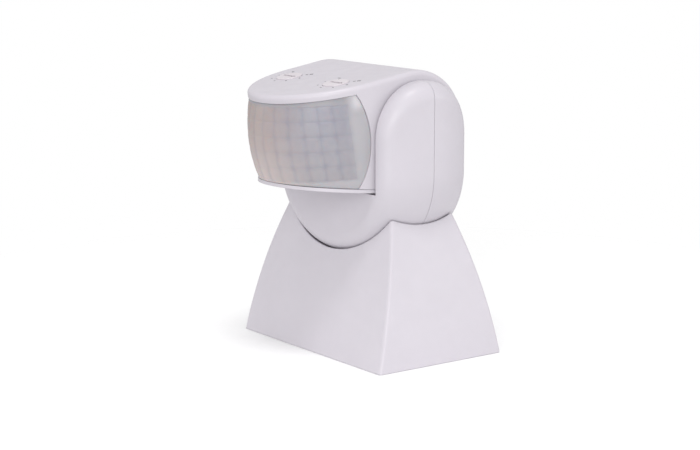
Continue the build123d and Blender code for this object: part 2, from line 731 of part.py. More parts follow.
def hanging_post(x, reach, top, bottom, radius):
    """A round post between two heights of the head."""
    with BuildPart() as post:
        with BuildSketch(head_plane(x, reach, bottom)):
            Circle(radius)
        extrude(amount=top - bottom)
    return post.part


def is_outer_edge(edge):
    """True for the edges around the flat top and around the two outer side faces."""
    middle = edge.position_at(0.5)
    height = (middle - tilt_point).dot(upward)
    back = (middle - tilt_point).dot(backward)
    if abs(height - DRUM_RADIUS) < TOLERANCE:
        return back < -TOLERANCE
    on_side = abs(abs(middle.X) - HEAD_HALF_WIDTH) < TOLERANCE
    on_drum = abs(hypot(height, back) - DRUM_RADIUS) < TOLERANCE
    return on_side and on_drum


with BuildPart() as head_casing:
    add(drum_shell(HEAD_HALF_WIDTH))
    # only the upper back of the drum belongs to this moulding
    with BuildSketch(SIDE_PLANE):
        with Locations((BIG / 2, TRAY_SPLIT + BIG / 2)):
            Rectangle(BIG, BIG)
    extrude(amount=BIG, both=True, mode=Mode.INTERSECT)
    flat_top = TOP_PLANE.offset(LENS_TOP)
    extrude(plan_outline(flat_top, HEAD_HALF_WIDTH, TOP_STRAIGHT, TOP_REACH, 0), amount=TOP_THICKNESS)
    for side in (-1, 1):
        add(side_wall(side))
    fillet(head_casing.edges().filter_by(is_outer_edge), HEAD_EDGE)

with BuildPart() as head_housing:
    add(head_casing.part)
    for side in (-1, 1):
        plane = SIDE_PLANE.offset(side * (HEAD_HALF_WIDTH - HEAD_WALL))
        window = lens_window(SIDE_PLANE.offset(side * POST_X), 1.5 * FIT)
        extrude(window, amount=side * BIG, mode=Mode.SUBTRACT)
        with BuildSketch(plane):
            Circle(TRUNNION_RADIUS)
        extrude(amount=side * (TRUNNION_END - HEAD_HALF_WIDTH + HEAD_WALL))
    for x, reach in post_places:
        add(hanging_post(x, reach, LENS_TOP + ROOT, -POST_END, POST_RADIUS))
    for x, reach in rear_post_places:
        add(hanging_post(x, reach, rear_post_root, -REAR_POST_END, POST_RADIUS))
    for x, reach in board_screw_places:
        add(hanging_post(x, reach, LENS_TOP + ROOT, BOARD_TOP + 0.02, BOARD_POST))
    with BuildSketch(SIDE_PLANE):
        Circle(TRUNNION_BORE)
    extrude(amount=BIG, both=True, mode=Mode.SUBTRACT)
    for x, reach in post_places:
        pilot = hanging_post(x, reach, SCREW_DEPTH - POST_END, -POST_END - 1, TRAY_PILOT)
        add(pilot, mode=Mode.SUBTRACT)
    for x, reach in rear_post_places:
        pilot = hanging_post(x, reach, SCREW_DEPTH - REAR_POST_END, -REAR_POST_END - 1, TRAY_PILOT)
        add(pilot, mode=Mode.SUBTRACT)
    for x, reach in board_screw_places:
        add(hanging_post(x, reach, BOARD_TOP + 4, BOARD_TOP, BOARD_PILOT), mode=Mode.SUBTRACT)
    for x, reach in dial_places:
        add(hanging_post(x, reach, BIG, DIAL_SEAT, DIAL_RADIUS + RUN), mode=Mode.SUBTRACT)
        add(hanging_post(x, reach, BIG, SEAL_SEAT, SEAL_RADIUS + FIT), mode=Mode.SUBTRACT)
        add(hanging_post(x, reach, BIG, LENS_TOP - 1, DIAL_STEM + RUN), mode=Mode.SUBTRACT)
save(head_housing.part, "head_housing")

# ================================================================ head tray with the lower lip
tray_half_width = HEAD_HALF_WIDTH - HEAD_WALL - FIT
split_angle = degrees(asin((TRAY_SPLIT - FIT) / DRUM_RADIUS))
inner_split_angle = degrees(asin((TRAY_SPLIT - FIT) / (DRUM_RADIUS - HEAD_WALL)))
tail_inward = drum_point(-HEAD_WALL, TOUCH_ANGLE)  # from the tail's outer face to its inner face


def drum_arc(radius, end_angle):
    """The lower back of the drum as an arc, from the end of the tail up to an angle."""
    middle = (TOUCH_ANGLE + end_angle) / 2
    ThreePointArc(
        drum_point(radius, TOUCH_ANGLE), drum_point(radius, middle), drum_point(radius, end_angle)
    )


with BuildPart() as head_tray:
    with BuildSketch(SIDE_PLANE):
        with BuildLine():
            keel_inside = (KEEL[0] + tail_inward[0], KEEL[1] + tail_inward[1])
            Line(KEEL, drum_point(DRUM_RADIUS, TOUCH_ANGLE))
            drum_arc(DRUM_RADIUS, split_angle)
            Line(drum_point(DRUM_RADIUS, split_angle), drum_point(DRUM_RADIUS - HEAD_WALL, inner_split_angle))
            drum_arc(DRUM_RADIUS - HEAD_WALL, inner_split_angle)
            Line(drum_point(DRUM_RADIUS - HEAD_WALL, TOUCH_ANGLE), keel_inside)
            Line(keel_inside, KEEL)
        make_face()
    extrude(amount=tray_half_width, both=True)
    add(sill_plate())
    for x, reach in post_places:
        add(hanging_post(x, reach, -POST_END - FIT, sill_height(-reach) + ROOT, POST_SLEEVE))
    for x, reach in rear_post_places:
        add(hanging_post(x, reach, -REAR_POST_END - FIT, -rear_post_root, POST_SLEEVE))
    for x, reach in post_places + rear_post_places:
        add(hanging_post(x, reach, 0, -BIG, TRAY_SHANK_HOLE), mode=Mode.SUBTRACT)
    for x, reach in post_places:
        add(hanging_post(x, reach, -POST_END - SCREW_SEAT, -BIG, TRAY_HEAD_HOLE), mode=Mode.SUBTRACT)
    for x, reach in rear_post_places:
        seat = hanging_post(x, reach, -REAR_POST_END - SCREW_SEAT, -BIG, TRAY_HEAD_HOLE)
        add(seat, mode=Mode.SUBTRACT)
save(head_tray.part, "head_tray")

with BuildPart() as tray_screws:
    for x, reach in post_places:
        add(pan_screw(head_plane(x, reach, -POST_END - SCREW_SEAT), *TRAY_SCREW))
    for x, reach in rear_post_places:
        add(pan_screw(head_plane(x, reach, -REAR_POST_END - SCREW_SEAT), *TRAY_SCREW))
save(tray_screws.part, "tray_screws")


# ================================================================ lens
def lens_reach(height):
    """How far forward the lens stands at a height: a line between the lips, bowed outward."""
    bottom = SILL_THICKNESS - SILL_FRONT_DROP
    share = (height - bottom) / (LENS_TOP - bottom)
    straight = (SILL_REACH + (TOP_REACH - SILL_REACH) * share) - LIP_INSET
    return straight + 4 * LENS_BULGE * share * (1 - share)


def lens_body(inset):
    """The barrel-shaped lens as a solid, shrunk by inset."""
    levels = [LENS_TOP - 0.05 - i * (LENS_TOP + SILL_SIDE_DROP) / 5 for i in range(6)]
    with BuildPart() as body:
        for height in levels:
            plane = TOP_PLANE.offset(height)
            reach = lens_reach(height) - inset
            add(plan_outline(plane, LENS_HALF_WIDTH - inset, TOP_STRAIGHT, reach, 0))
        loft()
    return body.part


with BuildPart() as lens:
    add(lens_body(0))
    add(lens_body(LENS_WALL), mode=Mode.SUBTRACT)
    extrude(lens_window(SIDE_PLANE, 0), amount=BIG, both=True, mode=Mode.INTERSECT)
    # the lower edge stands on the lip's plate
    with BuildSketch(SILL_PLANE.offset(SILL_THICKNESS + FIT / 2)):
        Rectangle(BIG, BIG)
    extrude(amount=-BIG, mode=Mode.SUBTRACT)
save(lens.part, "lens")

# ================================================================ boards and components of the head
BOARD_UNDER = BOARD_TOP - BOARD_THICKNESS


def head_box(x, reach, height, size):
    """A block in the head, from its centre, with its size across, forward and up."""
    with BuildPart() as block:
        with BuildSketch(head_plane(x, reach, height - size[2] / 2)):
            Rectangle(size[0], size[1])
        extrude(amount=size[2])
    return block.part


def hanging_can(x, reach, radius, height):
    """A round component standing on the underside of the main board."""
    return hanging_post(x, reach, BOARD_UNDER, BOARD_UNDER - height, radius)


with BuildPart() as main_board:
    with BuildSketch(head_plane(0, 0, BOARD_UNDER)):
        with Locations((0, (BOARD_BACK - BOARD_REACH) / 2)):
            RectangleRounded(2 * BOARD_HALF_WIDTH, BOARD_REACH + BOARD_BACK, 2)
        for x, reach in board_screw_places:
            with Locations((x, -reach)):
                Circle(1.1, mode=Mode.SUBTRACT)
    extrude(amount=BOARD_THICKNESS)
save(main_board.part, "main_board")

with BuildPart() as board_screws:
    for x, reach in board_screw_places:
        add(pan_screw(head_plane(x, reach, BOARD_UNDER), *BOARD_SCREW))
save(board_screws.part, "board_screws")

with BuildPart() as sensor_board:
    with BuildSketch(front_plane(0, SENSOR_REACH - 1.2, SENSOR_HEIGHT - 2)):
        Rectangle(22, 2 * (BOARD_UNDER - SENSOR_HEIGHT + 2))
    extrude(amount=1.2)
save(sensor_board.part, "sensor_board")

with BuildPart() as infrared_sensor:
    with BuildSketch(front_plane(0, SENSOR_REACH, SENSOR_HEIGHT)):
        Circle(4.6)
    extrude(amount=0.8)
    with BuildSketch(front_plane(0, SENSOR_REACH, SENSOR_HEIGHT)):
        Circle(4.1)
    extrude(amount=4.2)
    fillet(infrared_sensor.edges().sort_by(Axis(head_place(0, 0, 0), backward * -1))[-1], 0.4)
    with BuildSketch(front_plane(0, SENSOR_REACH + 3.7, SENSOR_HEIGHT)):
        Rectangle(4.2, 3.2)
    extrude(amount=1, mode=Mode.SUBTRACT)
save(infrared_sensor.part, "infrared_sensor")

with BuildPart() as sensor_window:
    with BuildSketch(front_plane(0, SENSOR_REACH + 3.7, SENSOR_HEIGHT)):
        Rectangle(4.1, 3.1)
    extrude(amount=0.4)
save(sensor_window.part, "sensor_window")

with BuildPart() as light_sensor:
    with BuildSketch(front_plane(7.8, SENSOR_REACH, SENSOR_HEIGHT)):
        Circle(2.5)
    extrude(amount=2)
    fillet(light_sensor.edges().sort_by(Axis(head_place(0, 0, 0), backward * -1))[-1], 0.3)
save(light_sensor.part, "light_sensor")

with BuildPart() as relay:
    add(head_box(-3.5, 2, BOARD_UNDER - 7.75, (15, 19, 15.5)))
    fillet(relay.edges(), 0.5)
save(relay.part, "relay")

with BuildPart() as film_capacitor:
    add(head_box(9, 1, BOARD_UNDER - 5.5, (6, 16, 11)))
    fillet(film_capacitor.edges(), 0.4)
save(film_capacitor.part, "film_capacitor")

with BuildPart() as electrolytic_capacitors:
    for x in (-4, 6):
        add(hanging_can(x, 16, 4, 11))
save(electrolytic_capacitors.part, "electrolytic_capacitors")

with BuildPart() as varistor:
    varistor_face = Plane(head_place(-13.9, 16.3, BOARD_UNDER - 5), x_dir=(0, 1, 0), z_dir=(1, 0, 0))
    with BuildSketch(varistor_face):
        Circle(4.5)
    extrude(amount=3.2)
    fillet(varistor.edges(), 1)
save(varistor.part, "varistor")

with BuildPart() as lead_socket:
    add(head_box(-16, 0, BOARD_UNDER - 3.5, (4.6, 8.5, 7)))
    for row in wire_rows:
        add(hanging_post(-16, -row, BOARD_UNDER - 2, -BIG, WIRE_RADIUS + 0.1), mode=Mode.SUBTRACT)
save(lead_socket.part, "lead_socket")

with BuildPart() as head_leads:
    for row in wire_rows:
        shift = backward * row
        add(wire(
            [
                head_place(-TRUNNION_END + 0.2, 0, 0) + shift,
                head_place(-16, 0, 0) + shift,
                head_place(-16, 0, BOARD_UNDER - 2.3) + shift,
            ],
            WIRE_RADIUS,
            2.0,
        ))
save(head_leads.part, "head_leads")

with BuildPart() as trimmers:
    for x, reach in dial_places:
        add(head_box(x, reach, BOARD_TOP + 2, (7, 7, 4)))
    for x, reach in dial_places:
        add(hanging_post(x, reach, BIG, BOARD_TOP + 1, DIAL_TIP + RUN), mode=Mode.SUBTRACT)
save(trimmers.part, "trimmers")

with BuildPart() as dial_seals:
    for x, reach in dial_places:
        bottom = SEAL_SEAT + FIT / 2
        add(hanging_post(x, reach, bottom + SEAL_DEPTH - FIT, bottom, SEAL_RADIUS))
        add(hanging_post(x, reach, BIG, bottom - 1, DIAL_STEM + RUN), mode=Mode.SUBTRACT)
save(dial_seals.part, "dial_seals")


def dial(x, reach):
    """A setting dial: a slotted disc on a stem that turns the trimmer below it."""
    face = DRUM_RADIUS + DIAL_PROUD
    underside = DIAL_SEAT + FIT / 2
    with BuildPart() as knob:
        add(hanging_post(x, reach, face, underside, DIAL_RADIUS))
        fillet(knob.faces().sort_by(Axis(tilt_point, upward))[-1].edges(), 0.25)
        add(hanging_post(x, reach, underside, BOARD_TOP + 4.1, DIAL_STEM))
        add(hanging_post(x, reach, underside, BOARD_TOP + 1.5, DIAL_TIP))
        with BuildSketch(head_plane(x, reach, face)):
            Rectangle(6.4, 1.1)
            with Locations((2.9, 0)):
                Triangle(c=2.4, a=2.0, b=2.0, rotation=-90)
        extrude(amount=-0.9, mode=Mode.SUBTRACT)
    return knob.part


save(dial(*dial_places[0]), "time_dial")
save(dial(*dial_places[1]), "light_dial")
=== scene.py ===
"""Looks of the motion sensor: materials, the faceted lens, the printed dial scales and a soft studio.

Metres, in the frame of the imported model: +Z up, the lens faces -Y.
"""
import json
from math import cos, pi, radians, sin

import bpy
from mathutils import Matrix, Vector
from mathutils.bvhtree import BVHTree


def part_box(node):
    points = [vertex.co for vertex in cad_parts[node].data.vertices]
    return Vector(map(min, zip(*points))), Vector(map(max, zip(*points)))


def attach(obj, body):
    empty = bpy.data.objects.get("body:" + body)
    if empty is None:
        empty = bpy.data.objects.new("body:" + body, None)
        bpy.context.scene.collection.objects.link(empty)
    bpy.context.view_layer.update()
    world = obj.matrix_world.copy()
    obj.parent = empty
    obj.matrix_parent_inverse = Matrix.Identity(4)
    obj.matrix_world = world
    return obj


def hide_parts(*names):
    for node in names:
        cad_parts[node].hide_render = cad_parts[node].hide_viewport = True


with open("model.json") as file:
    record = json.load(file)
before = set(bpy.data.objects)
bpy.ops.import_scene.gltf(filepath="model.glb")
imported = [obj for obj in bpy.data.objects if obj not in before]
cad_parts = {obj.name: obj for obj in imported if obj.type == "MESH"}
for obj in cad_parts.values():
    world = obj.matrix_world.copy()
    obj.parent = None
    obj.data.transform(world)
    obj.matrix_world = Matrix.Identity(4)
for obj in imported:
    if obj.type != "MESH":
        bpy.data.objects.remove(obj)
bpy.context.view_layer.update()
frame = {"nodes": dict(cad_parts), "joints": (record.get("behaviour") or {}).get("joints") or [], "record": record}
MM = 0.001

# ---------------------------------------------------------------- the head's own directions
joints = {joint["name"]: joint for joint in frame["joints"]}
tilt_point = Vector(joints["head_tilt"]["pos_m"])
upward = Vector(joints["time_turn"]["axis"]).normalized()
across = Vector((1, 0, 0))
backward = upward.cross(across)
time_dial_top = Vector(joints["time_turn"]["pos_m"])
light_dial_top = Vector(joints["light_turn"]["pos_m"])
FLAT_TOP = (time_dial_top - tilt_point).dot(upward)


def head_place(x, reach, height):
    """Point of the head: across, forward of the tilt axis, above the tilt axis."""
    return tilt_point + across * x - backward * reach + upward * height


# ================================================================ material kit
EDGE_TURN = (0.985, 0.88)  # cosines of the rounded normal's turn where an edge starts and where it is full


class Shader:
    """A material's node tree with short calls for the nodes that the materials below share."""

    def __init__(self, name):
        self.material = bpy.data.materials.new(name)
        self.material.use_nodes = True
        self.tree = self.material.node_tree
        self.surface = self.tree.nodes["Principled BSDF"]
        self.place = self.node("ShaderNodeTexCoord").outputs["Object"]

    def node(self, kind, **settings):
        made = self.tree.nodes.new(kind)
        for key, value in settings.items():
            setattr(made, key, value)
        return made

    def feed(self, socket, value):
        """Links an output, or sets a plain value."""
        if isinstance(value, bpy.types.NodeSocket):
            self.tree.links.new(value, socket)
        else:
            socket.default_value = value

    def math(self, operation, first, second=0.0, clamp=False):
        made = self.node("ShaderNodeMath", operation=operation, use_clamp=clamp)
        self.feed(made.inputs[0], first)
        self.feed(made.inputs[1], second)
        return made.outputs[0]

    def noise(self, size, detail=2.0, vector=None):
        """Noise between 0 and 1 with features of about this size in metres."""
        made = self.node("ShaderNodeTexNoise")
        self.feed(made.inputs["Vector"], vector or self.place)
        made.inputs["Scale"].default_value = 1 / size
        made.inputs["Detail"].default_value = detail
        return made.outputs["Fac"]

    def fit(self, value, low, high, to_low=0.0, to_high=1.0):
        """Moves a value's range onto another range, held inside it."""
        made = self.node("ShaderNodeMapRange", interpolation_type="SMOOTHSTEP")
        self.feed(made.inputs["Value"], value)
        ends = {"From Min": low, "From Max": high, "To Min": to_low, "To Max": to_high}
        for socket, number in ends.items():
            made.inputs[socket].default_value = number
        return made.outputs["Result"]

    def mix(self, share, first, second):
        """Mixes two colours; the node's colour sockets are inputs 6 and 7 and output 2."""
        made = self.node("ShaderNodeMix", data_type="RGBA")
        self.feed(made.inputs[0], share)
        self.feed(made.inputs[6], first)
        self.feed(made.inputs[7], second)
        return made.outputs[2]

    def edge(self, radius):
        """A normal that rounds sharp edges, and a mask that is 1 on them."""
        bevel = self.node("ShaderNodeBevel", samples=4)
        bevel.inputs["Radius"].default_value = radius
        flat = self.node("ShaderNodeNewGeometry").outputs["Normal"]
        meet = self.node("ShaderNodeVectorMath", operation="DOT_PRODUCT")
        self.feed(meet.inputs[0], bevel.outputs[0])
        self.feed(meet.inputs[1], flat)
        mask = self.fit(meet.outputs["Value"], *EDGE_TURN)
        return bevel.outputs[0], mask

    def bump(self, height, depth, normal=None):
        made = self.node("ShaderNodeBump")
        made.inputs["Strength"].default_value = 1.0
        made.inputs["Distance"].default_value = depth
        self.feed(made.inputs["Height"], height)
        if normal is not None:
            self.feed(made.inputs["Normal"], normal)
        return made.outputs[0]

    def set(self, **inputs):
        """Feeds the surface's inputs; an underscore in a name stands for a space."""
        for key, value in inputs.items():
            self.feed(self.surface.inputs[key.replace("_", " ")], value)


def colour(red, green, blue):
    return (red, green, blue, 1.0)


def shade(base, factor):
    return (base[0] * factor, base[1] * factor, base[2] * factor, 1.0)


# ================================================================ materials
PLASTIC_GRAIN = 0.00012  # metres, as are the other sizes of grain and edge
PLASTIC_GRAIN_DEPTH = 0.000004
PLASTIC_EDGE = 0.00025
PLASTIC_FLOW = 0.02  # share by which the colour drifts
PLASTIC_EDGE_HIGHLIGHT = 0.05  # share by which the edges are painted paler: a painted highlight on every edge
PLASTIC_BENDING = 1.49


def moulded_plastic(name, base, rough=0.42, subsurface=0.0):
    """Injection-moulded plastic: fine spark grain, slow colour drift, faint flow marks, softened edges with a
    painted highlight.
    """
    made = Shader(name)
    rounded, on_edge = made.edge(PLASTIC_EDGE)
    drift = made.noise(0.03, detail=3.0)
    cloud = made.noise(0.004, detail=4.0)
    fine = made.noise(PLASTIC_GRAIN, detail=2.0)
    darker = shade(base, 1 - PLASTIC_FLOW)
    paler = shade(base, 1 + PLASTIC_FLOW / 2)
    flow_mark = shade(base, 1 - 1.5 * PLASTIC_FLOW)
    tone = made.mix(made.fit(drift, 0.3, 0.7), darker, paler)
    tone = made.mix(made.fit(cloud, 0.35, 0.65, 0.0, 0.25), tone, flow_mark)
    # painted highlight: the edges are painted paler than the rest of the plastic
    edge_highlight = made.math("MULTIPLY", on_edge, PLASTIC_EDGE_HIGHLIGHT * 4)
    tone = made.mix(edge_highlight, tone, shade(base, 1 + PLASTIC_EDGE_HIGHLIGHT))
    slow = made.fit(cloud, 0.3, 0.7, rough - 0.04, rough + 0.05)
    quick = made.fit(fine, 0.3, 0.7, -0.02, 0.02)
    roughness = made.math("ADD", slow, quick)
    normal = made.bump(fine, PLASTIC_GRAIN_DEPTH, rounded)
    made.set(Base_Color=tone, Roughness=roughness, Normal=normal, IOR=PLASTIC_BENDING)
    if subsurface:
        made.set(Subsurface_Weight=subsurface, Subsurface_Scale=0.002)
        made.surface.inputs["Subsurface Radius"].default_value = (1.0, 0.8, 0.75)
    return made.material


def rubber(name, base):
    """Soft rubber: dull, faintly dusty, with a fine pebble."""
    made = Shader(name)
    rounded, on_edge = made.edge(0.0002)
    dust = made.noise(0.002, detail=5.0)
    pebble = made.noise(0.00025, detail=1.0)
    tone = made.mix(made.fit(dust, 0.4, 0.75, 0.0, 0.5), base, shade(base, 1.8))
    # painted highlight: the edges are painted paler
    tone = made.mix(made.math("MULTIPLY", on_edge, 0.3), tone, shade(base, 2.2))
    made.set(Base_Color=tone, Roughness=made.fit(dust, 0.3, 0.7, 0.62, 0.8),
             Normal=made.bump(pebble, 0.00001, rounded))
    return made.material


METAL_STREAK = 0.00008
METAL_STRETCH = 12.0  # how many times longer than wide a streak is


def metal(name, base, rough):
    """Plated or brushed metal: streaks along one way, duller spots and a painted highlight on the edges."""
    made = Shader(name)
    rounded, on_edge = made.edge(0.00015)
    squeeze = made.node("ShaderNodeMapping")
    made.feed(squeeze.inputs["Vector"], made.place)
    squeeze.inputs["Scale"].default_value = (1.0, 1.0, 1 / METAL_STRETCH)
    streaks = made.noise(METAL_STREAK, detail=2.0, vector=squeeze.outputs[0])
    spots = made.noise(0.0015, detail=4.0)
    tone = made.mix(made.fit(spots, 0.45, 0.75, 0.0, 0.4), base, shade(base, 0.72))
    # painted highlight: the edges are painted brighter
    tone = made.mix(made.math("MULTIPLY", on_edge, 0.5), tone, shade(base, 1.15))
    slow = made.fit(spots, 0.3, 0.7, rough - 0.06, rough + 0.1)
    quick = made.fit(streaks, 0.3, 0.7, -0.04, 0.04)
    roughness = made.math("ADD", slow, quick)
    normal = made.bump(streaks, 0.000003, rounded)
    made.set(Base_Color=tone, Metallic=1.0, Roughness=roughness, Normal=normal)
    return made.material


def circuit_board(name):
    """Green solder mask over a woven glass board, with tracks that show as faint raised lines."""
    made = Shader(name)
    base = colour(0.02, 0.11, 0.05)
    weave = made.node("ShaderNodeTexWave", wave_type="BANDS", bands_direction="X")
    weft = made.node("ShaderNodeTexWave", wave_type="BANDS", bands_direction="Y")
    for threads in (weave, weft):
        made.feed(threads.inputs["Vector"], made.place)
        threads.inputs["Scale"].default_value = 450.0
    cloth = made.math("MULTIPLY", weave.outputs["Fac"], weft.outputs["Fac"])
    cells = made.node("ShaderNodeTexVoronoi", feature="DISTANCE_TO_EDGE")
    made.feed(cells.inputs["Vector"], made.place)
    cells.inputs["Scale"].default_value = 320.0
    track = made.fit(cells.outputs["Distance"], 0.10, 0.06)
    tone = made.mix(made.math("MULTIPLY", cloth, 0.35), base, shade(base, 1.7))
    tone = made.mix(made.math("MULTIPLY", track, 0.7), tone, colour(0.05, 0.21, 0.08))
    relief = made.math("ADD", track, made.math("MULTIPLY", cloth, 0.15))
    made.set(Base_Color=tone, Roughness=made.fit(cloth, 0.0, 1.0, 0.28, 0.4),
             Normal=made.bump(relief, 0.00003), Coat_Weight=0.4)
    return made.material


def dark_glass(name):
    """The infrared window: near-black, polished, with a violet coating that shifts slightly."""
    made = Shader(name)
    film = made.noise(0.003, detail=2.0)
    tone = made.mix(film, colour(0.012, 0.008, 0.02), colour(0.03, 0.014, 0.04))
    made.set(Base_Color=tone, Roughness=made.fit(film, 0.3, 0.7, 0.04, 0.1), Coat_Weight=1.0)
    return made.material


def light_cell(name):
    """The light sensor's face: a winding grey track on a pale cell under clear resin."""
    made = Shader(name)
    bands = made.node("ShaderNodeTexWave", wave_type="BANDS", bands_direction="Z")
    made.feed(bands.inputs["Vector"], made.place)
    bands.inputs["Scale"].default_value = 300.0
    bands.inputs["Distortion"].default_value = 1.5
    track = made.fit(bands.outputs["Fac"], 0.4, 0.6)
    tone = made.mix(track, colour(0.35, 0.1, 0.04), colour(0.55, 0.5, 0.42))
    made.set(Base_Color=tone, Roughness=0.25, Coat_Weight=1.0, Normal=made.bump(track, 0.00002))
    return made.material


LEAD_SPLIT = 0.001  # metres either side of the tilt axis where one lead's colour gives way to the next


def wire_insulation(name):
    """Three leads: blue in front, brown in the middle and yellow-green behind."""
    made = Shader(name)
    split = made.node("ShaderNodeSeparateXYZ")
    made.feed(split.inputs[0], made.place)
    back = made.math("SUBTRACT", split.outputs["Y"], tilt_point.y)
    scuff = made.noise(0.001, detail=4.0)
    blue = colour(0.02, 0.1, 0.42)
    brown = colour(0.32, 0.13, 0.05)
    yellow_green = colour(0.42, 0.4, 0.05)
    tone = made.mix(made.math("GREATER_THAN", back, -LEAD_SPLIT), blue, brown)
    tone = made.mix(made.math("GREATER_THAN", back, LEAD_SPLIT), tone, yellow_green)
    tone = made.mix(made.fit(scuff, 0.5, 0.8, 0.0, 0.3), tone, colour(0.5, 0.48, 0.45))
    made.set(Base_Color=tone, Roughness=made.fit(scuff, 0.3, 0.7, 0.35, 0.5))
    return made.material


def printed_ink(name):
    """Pad-printed grey ink, slightly uneven."""
    made = Shader(name)
    patch = made.noise(0.0004, detail=3.0)
    tone = made.mix(made.fit(patch, 0.35, 0.7), colour(0.05, 0.045, 0.055), colour(0.1, 0.095, 0.11))
    made.set(Base_Color=tone, Roughness=made.fit(patch, 0.3, 0.7, 0.45, 0.6))
    return made.material


# The lens's cells: columns counted round it from the left, rows counted up from the lowest line.
CELL_COLUMNS = 13
CELL_ROWS = 5
CELL_PITCH = 5.42 * MM
CELL_HEIGHT = 5.25 * MM
CELL_LOW = -10.6 * MM  # height of the lowest line at CELL_REACH
CELL_REACH = 35.0 * MM
CELL_RISE = 0.1  # how much the rows rise for each metre forward
CELL_DEPTH = 0.09 * MM


def frosted_lens(name):
    """Frosted lens sheet.  UV counts the lens's cells: whole numbers are the lines between them.

    The sheet is opaque: its colours stand for what the frosted sheet lets through.  The soft
    lines between the cells are darkest where they cross.
    """
    made = Shader(name)
    split = made.node("ShaderNodeSeparateXYZ")
    made.feed(split.inputs[0], made.node("ShaderNodeUVMap", uv_map="cells").outputs[0])
    wobble = made.math("MULTIPLY", made.math("SUBTRACT", made.noise(0.004, detail=2.0), 0.5), 0.25)
    column = made.math("ADD", split.outputs["X"], wobble)
    row = made.math("ADD", split.outputs["Y"], wobble)

    def near_line(value, reach):
        """1 on the nearest line, 0 further than reach from it; a cell is 1 wide."""
        return made.fit(made.math("PINGPONG", value, 0.5), 0.0, reach, 1.0, 0.0)

    def inside(value, count, soft):
        """1 between 0 and count, fading out over soft."""
        enter = made.fit(value, -soft, soft)
        leave = made.fit(value, count - soft, count + soft, 1.0, 0.0)
        return made.math("MULTIPLY", enter, leave)

    in_cells = made.math("MULTIPLY", inside(column, CELL_COLUMNS, 0.4), inside(row, CELL_ROWS, 0.15))
    to_right = made.fit(column, 0.45 * CELL_COLUMNS, 0.85 * CELL_COLUMNS)
    to_top = made.fit(row, -0.5, CELL_ROWS)

    # the sheet and its cells carry a painted reflection: warm on the left and cool on the right, a tint that stays
    # at every angle
    low_margin = made.mix(to_right, colour(0.50, 0.43, 0.42), colour(0.39, 0.38, 0.405))
    # painted shadow under the lip: the upper margin is darker
    margin = made.mix(made.fit(row, CELL_ROWS - 1, CELL_ROWS), low_margin, colour(0.31, 0.30, 0.325))
    low_cell = made.mix(to_right, colour(0.52, 0.435, 0.42), colour(0.31, 0.295, 0.32))
    high_cell = made.mix(to_right, colour(0.33, 0.26, 0.245), colour(0.28, 0.275, 0.32))
    # painted shadow under the lip: the upper rows of cells are darker, the lower rows lighter
    cell = made.mix(to_top, low_cell, high_cell)

    # each column is one moulded strip with its own tint; a painted shade darkens its right-hand side, most on the
    # left of the lens
    strip_number = made.node("ShaderNodeTexWhiteNoise", noise_dimensions="1D")
    made.feed(strip_number.inputs["W"], made.math("FLOOR", column))
    cell = made.mix(made.math("MULTIPLY", strip_number.outputs["Value"], 0.16), cell, colour(0.5, 0.48, 0.49))
    lean = made.math("MULTIPLY", made.math("FRACT", column), made.math("SUBTRACT", 1.0, to_right))
    cell = made.mix(made.math("MULTIPLY", lean, 0.22), cell, colour(0.27, 0.24, 0.25))

    # soft lines, and dark spots where they cross
    upright = made.math("MULTIPLY", near_line(column, 0.25), 0.18)
    level = made.math("MULTIPLY", near_line(row, 0.3), made.math("MULTIPLY", to_right, 0.12))
    spot = made.math("MULTIPLY", near_line(column, 0.4), near_line(row, 0.4))
    spot = made.math("MULTIPLY", spot, made.math("MULTIPLY", to_right, 0.16))
    dark = made.math("ADD", made.math("ADD", upright, level), spot, clamp=True)
    cell = made.mix(dark, cell, colour(0.2, 0.2, 0.26))
    tone = made.mix(in_cells, margin, cell)

    # painted light: the upper right corner is painted pale
    corner = made.math("MULTIPLY", made.fit(column, CELL_COLUMNS - 0.2, CELL_COLUMNS + 0.6),
                       made.fit(row, CELL_ROWS - 0.8, CELL_ROWS + 0.1))
    tone = made.mix(made.math("MULTIPLY", corner, 0.8), tone, colour(0.6, 0.58, 0.61))

    cloud = made.noise(0.003, detail=3.0)
    tone = made.mix(made.fit(cloud, 0.3, 0.7, 0.0, 0.1), tone, colour(0.46, 0.44, 0.45))
    frost = made.noise(0.00009, detail=1.0)
    made.set(Base_Color=tone, Roughness=made.fit(cloud, 0.3, 0.7, 0.36, 0.46), IOR=1.5,
             Normal=made.bump(frost, 0.000006), Subsurface_Weight=0.2, Subsurface_Scale=0.0015)
    return made.material


